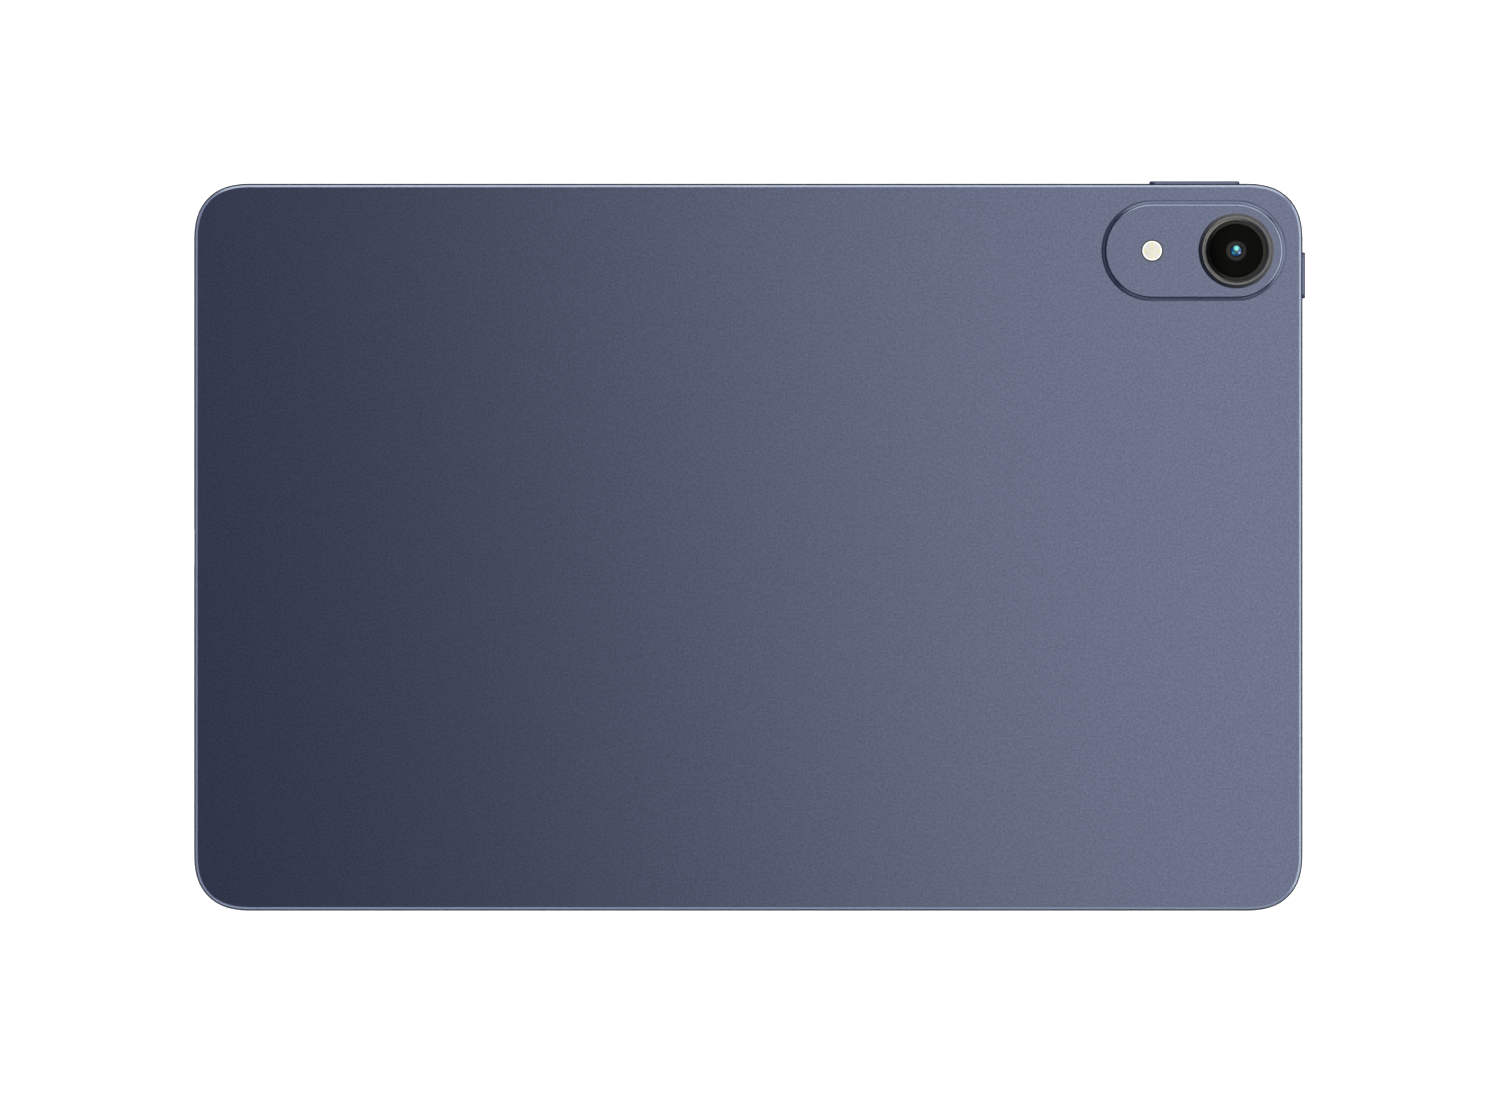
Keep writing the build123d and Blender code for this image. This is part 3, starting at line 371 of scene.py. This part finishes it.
# %% Boards, films and chips
finishes["board_laminate"] = textured(
    "glass_epoxy_laminate", ("#123A2A", "#1C5239"), 0.5, "Voronoi", roughness=0.35, bump=0.2)
finishes["flex_film"] = textured(
    "amber_polyimide_film", ("#8E5A17", "#B9822F"), 0.8, "Wave", stretch=(1, 1, 0), roughness=0.3)
finishes["black_flex"] = textured(
    "black_polyimide_coverlay", ("#18181A", "#29292C"), 0.6, "Wave", stretch=(1, 1, 0), roughness=0.42)
finishes["chip_resin"] = textured(
    "moulded_epoxy_resin", ("#1B1B1D", "#2B2B2E"), 0.15, roughness=0.6, bump=0.2)
finishes["graphite_sheet"] = textured(
    "pressed_graphite_sheet", ("#2E2F31", "#45464A"), 0.5, stretch=(0.3, 1, 1), metallic=0.7, roughness=0.45)
finishes["sensor_silicon"] = textured(
    "silicon_under_colour_filters", ("#1C2433", "#38406B"), 0.4, stretch=(1, 1, 0.1), metallic=0.5,
    roughness=0.2)
finishes["panel_glass"] = textured(
    "polariser_film_on_glass", ("#0B0C0E", "#121418"), 0.4, stretch=(1, 0.05, 1), roughness=0.3, bump=0.02)
finishes["acrylic"] = textured(
    "dotted_acrylic_sheet", ("#D7DCE0", "#EEF1F3"), 0.7, "Voronoi", roughness=0.2, bump=0.3)
finishes["speaker_cloth"] = textured(
    "woven_acoustic_mesh", ("#050506", "#2A2A2D"), 0.22, "Voronoi", roughness=0.7, bump=0.8)
print("finishes", len(finishes))

# %% [markdown]
# The screen's glass is chemically strengthened and polished. It is printed black behind the border, and
# the screen behind the middle is a slightly lighter black when it is off. Drawing both on the glass keeps
# the front readable from every side. A round window in the long border shows the front camera: a dark
# lens with a blue-violet bloom inside a thin grey rim.

# %% Screen glass
BORDER = 8.25 * MM
FRONT_CAMERA = (0.0, 79.4 * MM, 0.0)


def distance_ramp(tree, centre, stops):
    """Colours by distance from a centre: stops are pairs of millimetres and a hex colour."""
    flat = object_space(tree, centre, (1, 1, 0))
    away = add_node(tree, "ShaderNodeVectorMath", {0: flat}, operation="LENGTH")
    reach = stops[-1][0] * MM
    share = add_node(tree, "ShaderNodeMath", {0: away.outputs["Value"], 1: reach}, operation="DIVIDE")
    ramp = add_node(tree, "ShaderNodeValToRGB", {"Fac": share.outputs[0]})
    while len(ramp.color_ramp.elements) < len(stops):
        ramp.color_ramp.elements.new(0.5)
    for stop, (radius, colour) in zip(ramp.color_ramp.elements, stops):
        stop.position = radius * MM / reach
        stop.color = linear(colour)
    return ramp.outputs["Color"]


def inside_slab(tree, axis, half):
    """1 where the distance from the middle plane along one axis is less than a half width."""
    parts = add_node(tree, "ShaderNodeSeparateXYZ", {"Vector": object_space(tree)})
    off = add_node(tree, "ShaderNodeMath", {0: parts.outputs[axis]}, operation="ABSOLUTE")
    return add_node(tree, "ShaderNodeMath", {0: off.outputs[0], 1: half}, operation="LESS_THAN").outputs[0]


def make_screen_glass():
    glass, tree, shader = start_material("strengthened_screen_glass", Roughness=0.06, IOR=1.5)
    low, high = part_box("front_glass")
    across = inside_slab(tree, "X", high.x - BORDER)
    along = inside_slab(tree, "Y", high.y - BORDER)
    middle = add_node(tree, "ShaderNodeMath", {0: across, 1: along}, operation="MULTIPLY").outputs[0]
    fine = add_node(tree, "ShaderNodeTexNoise", {"Vector": object_space(tree), "Scale": 1 / (3 * MM)})
    off_screen = add_node(tree, "ShaderNodeValToRGB", {"Fac": fine.outputs["Fac"]})
    off_screen.color_ramp.elements[0].color = linear("#0B0B0E")
    off_screen.color_ramp.elements[1].color = linear("#101014")
    screen = add_node(
        tree, "ShaderNodeMix",
        {0: middle, 6: linear("#020203"), 7: off_screen.outputs["Color"]}, data_type="RGBA")
    window = distance_ramp(tree, FRONT_CAMERA, [
        (0.0, "#0A0D1C"), (0.5, "#16204A"), (0.8, "#07080F"), (1.45, "#050506"), (1.6, "#3A3B40"),
        (1.75, "#020203"), (3.0, "#000000"),
    ])
    both = add_node(
        tree, "ShaderNodeMix", {0: 1.0, 6: screen.outputs[2], 7: window}, data_type="RGBA", blend_type="ADD")
    tree.links.new(both.outputs[2], shader.inputs["Base Color"])
    return glass


finishes["cover_glass"] = make_screen_glass()
print("made", finishes["cover_glass"].name)

# %% [markdown]
# The parts round the lens are several pieces, each turned on a lathe or moulded round one axis. They are
# all made the same way here: a few points of the half section are joined by edges, and spin sweeps them
# round the axis. Merging closes the seam and the poles, and recalculating makes every face point out.
# The shading is smooth, except across edges sharper than 30 degrees.

# %% Turning a piece
CAMERA_AXIS = sum(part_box("camera_glass"), Vector()) / 2
FLASH_AXIS = sum(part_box("flash_lens"), Vector()) / 2


def turn_section(section, axis, steps, closed):
    """A bmesh of a half section, given as (radius, height) in millimetres, spun about a vertical axis."""
    turned = bmesh.new()
    verts = [turned.verts.new((axis.x + r * MM, axis.y, z * MM)) for r, z in section]
    pairs = list(zip(verts, verts[1:])) + ([(verts[-1], verts[0])] if closed else [])
    edges = [turned.edges.new(pair) for pair in pairs]
    bmesh.ops.spin(
        turned, geom=verts + edges, cent=(axis.x, axis.y, 0), axis=(0, 0, 1), dvec=(0, 0, 0),
        angle=2 * math.pi, steps=steps, use_merge=True, use_duplicate=False,
    )
    bmesh.ops.remove_doubles(turned, verts=turned.verts, dist=0.0005 * MM)
    bmesh.ops.recalc_face_normals(turned, faces=turned.faces)
    return turned


def finish_piece(name, shape, material, body, node):
    """Makes an object of a bmesh, gives it its finish, and puts it in a CAD node's place."""
    mesh = bpy.data.meshes.new(name)
    shape.to_mesh(mesh)
    shape.free()
    mesh.shade_smooth()
    mesh.set_sharp_from_angle(angle=math.radians(30))
    piece = bpy.data.objects.new(name, mesh)
    scene.collection.objects.link(piece)
    mesh.materials.append(material)
    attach(piece, body)
    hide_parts(node)
    print(name, len(mesh.polygons), "faces")
    return piece


print("camera axis", [round(v, 4) for v in CAMERA_AXIS], "flash axis", [round(v, 4) for v in FLASH_AXIS])

# %% [markdown]
# The camera ring is turned from bar and plated dark. Its sloping flank carries a fine straight knurl,
# which catches the light as tiny beads. The half section below has every small ridge and groove of the
# ring, with a narrow dark gap beside the glass. The knurl is 150 ridges: spin makes 300 columns, and every
# second column of the flank moves in.

# %% Camera ring
KNURL_COLUMNS = 300
KNURL_HEIGHT = 0.07
KNURL_INNER = 8.1
KNURL_OUTER = 8.74
KNURL_FOOT = 8.7
RING_SECTION = [
    (6.45, 7.45), (8.0, 7.45), (8.0, 8.5), (8.70, 8.5), (8.75, 8.54), (8.75, 8.66), (8.71, 8.74),
    (8.55, 8.89), (8.35, 9.07), (8.15, 9.24), (8.02, 9.35), (7.98, 9.38), (7.93, 9.46), (7.88, 9.49),
    (7.80, 9.50), (7.72, 9.49), (7.67, 9.45), (7.62, 9.38), (7.58, 9.36), (7.50, 9.36), (7.47, 9.38),
    (7.43, 9.43), (7.38, 9.42), (7.35, 9.38), (7.33, 8.95), (7.10, 8.9), (7.07, 8.86), (7.07, 8.5),
    (6.45, 8.5),
]


def cut_knurl(ring):
    """Moves every second column of the flank in and down, which leaves the columns between as ridges."""
    for vert in ring.verts:
        out = Vector((vert.co.x - CAMERA_AXIS.x, vert.co.y - CAMERA_AXIS.y, 0))
        column = round(math.atan2(out.y, out.x) / (2 * math.pi) * KNURL_COLUMNS)
        on_flank = KNURL_INNER * MM < out.length < KNURL_OUTER * MM and vert.co.z > KNURL_FOOT * MM
        if on_flank and column % 2:
            vert.co -= (out.normalized() * 0.66 + Vector((0, 0, 0.75))) * KNURL_HEIGHT * MM


ring_shape = turn_section(RING_SECTION, CAMERA_AXIS, KNURL_COLUMNS, closed=True)
cut_knurl(ring_shape)
finishes["ring_metal"] = textured(
    "dark_nickel_plated_brass", ("#414143", "#59595E"), 0.2, metallic=1.0, roughness=0.21, bump=0.1)
finish_piece(
    "knurled_camera_ring", ring_shape, finishes["ring_metal"], "tablet_body", "camera_ring")

# %% [markdown]
# The window over the camera is a disc of clear glass with ground, slightly rounded edges and an
# anti-reflection coat. Most light passes straight through, so its material is mostly transparent. What is
# left is a faint neutral sheen. Its border is printed black underneath, which hides the glue on the ring's
# seat. A film behind it is printed black too, with a round hole for the lens.

# %% Camera window and mask
WINDOW_SECTION = [
    (0.0, 8.5), (6.95, 8.5), (7.05, 8.58), (7.05, 9.08), (7.02, 9.14), (6.96, 9.18), (6.88, 9.2), (0.0, 9.2),
]


def make_window_glass():
    glass, tree, shader = start_material("anti_reflection_coated_glass", Roughness=0.16, IOR=1.2)
    haze = add_node(tree, "ShaderNodeTexNoise", {"Vector": object_space(tree), "Scale": 1 / (2.5 * MM)})
    tint = add_node(tree, "ShaderNodeValToRGB", {"Fac": haze.outputs["Fac"]})
    tint.color_ramp.elements[0].color = linear("#020203")
    tint.color_ramp.elements[1].color = linear("#060606")
    tree.links.new(tint.outputs["Color"], shader.inputs["Base Color"])
    print_edge = distance_ramp(tree, CAMERA_AXIS, [
        (0.0, "#5C5C5C"), (6.2, "#5C5C5C"), (6.3, "#FFFFFF"), (7.1, "#FFFFFF"),
    ])
    tree.links.new(print_edge, shader.inputs["Alpha"])
    return glass


def make_mask_film():
    film, tree, shader = start_material("black_screen_printed_film", Roughness=0.7, IOR=1.05)
    dots = add_node(tree, "ShaderNodeTexNoise", {"Vector": object_space(tree), "Scale": 1 / (0.3 * MM)})
    ink = add_node(tree, "ShaderNodeValToRGB", {"Fac": dots.outputs["Fac"]})
    ink.color_ramp.elements[0].color = linear("#010101")
    ink.color_ramp.elements[1].color = linear("#040404")
    tree.links.new(ink.outputs["Color"], shader.inputs["Base Color"])
    return film


finishes["camera_window"] = make_window_glass()
finishes["black_film"] = make_mask_film()
finish_piece(
    "camera_window_glass", turn_section(WINDOW_SECTION, CAMERA_AXIS, 128, closed=False),
    finishes["camera_window"], "tablet_body", "camera_glass")

# %% [markdown]
# The barrel is moulded in black polycarbonate. Its mouth is a funnel with fine steps, which keep stray
# light out of the lens, inside a thin polished rim. The section repeats the solid barrel's outside and
# adds the steps.

# %% Lens barrel
STEPS = 5
STEP_RUN = [(2.0 - 0.1 * i, 8.15 - 0.09 * i) for i in range(STEPS + 1)]
FUNNEL = [
    point for (r, z), (_, z_next) in zip(STEP_RUN, STEP_RUN[1:]) for point in ((r, z), (r - 0.02, z_next))
]
BARREL_SECTION = [
    (0.0, 4.4), (3.3, 4.4), (3.3, 6.4), (2.3, 6.4), (2.3, 8.1), (2.27, 8.14), (2.2, 8.15), (2.08, 8.15),
    (2.03, 8.14), *FUNNEL, (1.5, 7.7), (1.5, 7.2), (0.0, 7.2),
]
finishes["barrel_plastic"] = textured(
    "matt_black_polycarbonate", ("#121013", "#1D1A1F"), 0.15, roughness=0.42, bump=0.15, ior=1.3)
finish_piece(
    "stepped_lens_barrel", turn_section(BARREL_SECTION, CAMERA_AXIS, 96, closed=False),
    finishes["barrel_plastic"], "focus_lens", "lens_barrel")

# %% [markdown]
# The front lens is a small glass dome under several thin coats. Its colour is blue round the edge and
# nearly black in the middle, where light goes through to the sensor. Over that are painted highlights,
# soft round patches on the dome: cyan above, teal at the lower left and pale blue at the lower right,
# which stand in for the studio lights mirrored in the coats and the elements behind.

# %% Front lens
LENS_R = 1.45
LENS_BASE = 7.2
LENS_RISE = 0.4
BALL_R = (LENS_R ** 2 + LENS_RISE ** 2) / (2 * LENS_RISE)
LENS_STEPS = 12
BALL_CENTRE = LENS_BASE + LENS_RISE - BALL_R
DOME_RADII = [LENS_R * i / LENS_STEPS for i in range(LENS_STEPS - 1, -1, -1)]
LENS_SECTION = [(0.0, LENS_BASE), (LENS_R, LENS_BASE)] + [
    (r, BALL_CENTRE + math.sqrt(BALL_R ** 2 - r ** 2)) for r in DOME_RADII
]
# Painted highlights: centre in millimetres from the axis, radius, and colour.
LENS_PAINTED_HIGHLIGHTS = [
    ((-0.62, -0.50), 0.46, "#2FA9B4"), ((0.82, -0.48), 0.36, "#8FC0F2"), ((0.07, 0.60), 0.78, "#86FFF7"),
]


def make_lens_with_painted_highlights():
    coat, tree, shader = start_material("multi_coated_lens_painted_highlights", Roughness=0.08)
    colour = distance_ramp(tree, CAMERA_AXIS, [
        (0.0, "#02050C"), (0.35, "#03102A"), (0.7, "#0A4A90"), (1.15, "#0B4488"), (1.3, "#050B18"),
        (1.5, "#020204"),
    ])
    # Each patch is a painted highlight mixed into the lens colour.
    for (x, y), radius, tint in LENS_PAINTED_HIGHLIGHTS:
        centre = (CAMERA_AXIS.x + x * MM, CAMERA_AXIS.y + y * MM, 0)
        highlight_patch = distance_ramp(
            tree, centre, [(0.0, "#FFFFFF"), (radius * 0.4, "#FFFFFF"), (radius, "#000000")])
        colour = add_node(
            tree, "ShaderNodeMix", {0: highlight_patch, 6: colour, 7: linear(tint)}, data_type="RGBA").outputs[2]
    tree.links.new(colour, shader.inputs["Base Color"])
    return coat


finishes["lens_glass"] = make_lens_with_painted_highlights()
finish_piece(
    "front_lens_painted_highlights", turn_section(LENS_SECTION, CAMERA_AXIS, 64, closed=False),
    finishes["lens_glass"], "focus_lens", "front_lens")

# %% [markdown]
# The flash's cap is moulded from milky polycarbonate. Its face has fine round grooves that spread the
# light, inside a smooth rim. The grooves go into the half section, as pairs of points, so that spin turns
# them with the rest. A flange below holds the cap under the cover.

# %% Flash cap's section
GROOVE_PITCH = 0.24
GROOVES = [
    point for i in range(7, -1, -1)
    for point in ((0.24 + GROOVE_PITCH * (i + 0.08), 8.50), (0.24 + GROOVE_PITCH * (i - 0.08), 8.46))
]
CAP_SECTION = [
    (0.0, 7.35), (3.2, 7.35), (3.2, 7.7), (2.24, 7.7), (2.24, 8.42), (2.22, 8.48), (2.19, 8.51), (2.14, 8.52),
    (2.02, 8.52), *GROOVES, (0.0, 8.50),
]
print("grooves", len(GROOVES) // 2)

# %% [markdown]
# The yellow of the lamps behind the cap shows through it as soft wedges, and its rim is white. The wedges
# follow the angle round the axis, which ARCTAN2 gives, and the rest follows the distance from the axis.
# The flange below the gap is coloured near black: painted shade, which darkens the gap round the cap.

# %% Flash cap
def make_flash_plastic():
    plastic, tree, shader = start_material("milky_polycarbonate", Roughness=0.3, IOR=1.45)
    place = object_space(tree, FLASH_AXIS)
    parts = add_node(tree, "ShaderNodeSeparateXYZ", {"Vector": place})
    angle = add_node(
        tree, "ShaderNodeMath", {0: parts.outputs["Y"], 1: parts.outputs["X"]}, operation="ARCTAN2")
    fourfold = add_node(tree, "ShaderNodeMath", {0: angle.outputs[0], 1: 4.0}, operation="MULTIPLY")
    wave = add_node(tree, "ShaderNodeMath", {0: fourfold.outputs[0]}, operation="COSINE")
    share = add_node(tree, "ShaderNodeMapRange", {"Value": wave.outputs[0], "From Min": -1.0})
    wedges = add_node(tree, "ShaderNodeValToRGB", {"Fac": share.outputs["Result"]})
    wedges.color_ramp.elements[0].color = linear("#ABABB3")
    wedges.color_ramp.elements[1].color = linear("#B2AE99")
    edge = distance_ramp(tree, FLASH_AXIS, [
        (0.0, "#000000"), (1.2, "#1A1A1A"), (1.95, "#3A3A3A"), (2.08, "#FFFFFF"), (3.4, "#FFFFFF"),
    ])
    # Painted shade: the flange seen in the gap round the cap is near black.
    gap_shade = distance_ramp(tree, FLASH_AXIS, [
        (0.0, "#FFFFFF"), (2.25, "#FFFFFF"), (2.29, "#101013"), (3.4, "#101013"),
    ])
    face = add_node(
        tree, "ShaderNodeMix", {0: edge, 6: wedges.outputs["Color"], 7: linear("#DCDDE9")}, data_type="RGBA")
    shaded_in_gap = add_node(
        tree, "ShaderNodeMix",
        {0: 1.0, 6: face.outputs[2], 7: gap_shade}, data_type="RGBA", blend_type="MULTIPLY")
    tree.links.new(shaded_in_gap.outputs[2], shader.inputs["Base Color"])
    return plastic


finishes["flash_plastic"] = make_flash_plastic()
finishes["led_yellow"] = textured(
    "cast_phosphor_gel", ("#C9A531", "#E8C94F"), 0.3, roughness=0.5, bump=0.2)
finish_piece(
    "grooved_flash_cap", turn_section(CAP_SECTION, FLASH_AXIS, 96, closed=False),
    finishes["flash_plastic"], "tablet_body", "flash_lens")

# %% [markdown]
# Every CAD node keeps its shape and takes the finish of its slot. A slot without a finish would leave a
# plain grey part, so the list of such slots is printed, and should be empty.

# %% Assign the finishes
unfinished = set()
for node in nodes.values():
    slot = node.material_slots[0]
    if slot.material.name in finishes:
        slot.material = finishes[slot.material.name]
    else:
        unfinished.add(slot.material.name)
print("slots without a finish", sorted(unfinished))
